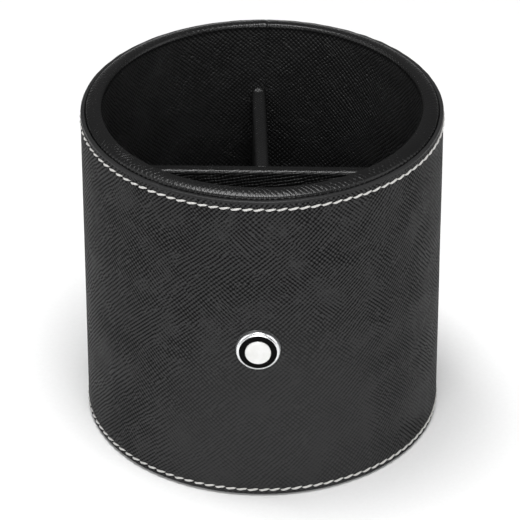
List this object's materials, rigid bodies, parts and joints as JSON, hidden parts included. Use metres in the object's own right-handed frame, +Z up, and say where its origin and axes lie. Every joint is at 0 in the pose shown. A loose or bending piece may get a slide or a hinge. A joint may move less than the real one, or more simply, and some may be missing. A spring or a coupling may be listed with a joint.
{
  "type": "pen holder cup",
  "caption": "Round leather-covered desk cup for pens, with a T-shaped divider, contrast stitching and a small round badge.",
  "frame": {"origin": "centre of the resting face, on the cup's axis", "axes": "+Z up to the open rim, -Y towards the badge at the front, +X to the right seen from the front"},
  "size_m": [0.1, 0.1022, 0.0963],
  "materials": {
    "cover_leather": "black, pressed cross-hatch grain, satin",
    "lining_leather": "black, pressed cross-hatch grain, satin",
    "divider_leather": "black, fine grain, wrapped over the top edge",
    "suede": "matt black microfibre",
    "grey_board": "rigid grey board",
    "card": "thin card",
    "thread": "off-white waxed thread",
    "chrome": "polished",
    "enamel": "glossy black enamel",
    "white_enamel": "glossy white",
    "steel": "plain"
  },
  "bodies": {
    "root": {"body_shell": "grey_board", "base_board": "grey_board", "rim_core": "card", "lining_board": "card", "floor_board": "card", "outer_cover": "cover_leather", "lining_wall": "lining_leather", "floor_lining": "lining_leather", "base_pad": "suede", "centre_divider_board": "grey_board", "centre_divider_cover": "divider_leather", "rear_divider_board": "grey_board", "rear_divider_cover": "divider_leather", "top_stitching": "thread", "bottom_stitching": "thread", "badge_bezel": "chrome", "badge_enamel": "enamel", "badge_inlay": "white_enamel", "badge_posts": "steel", "badge_washers": "steel"}
  },
  "joints": []
}
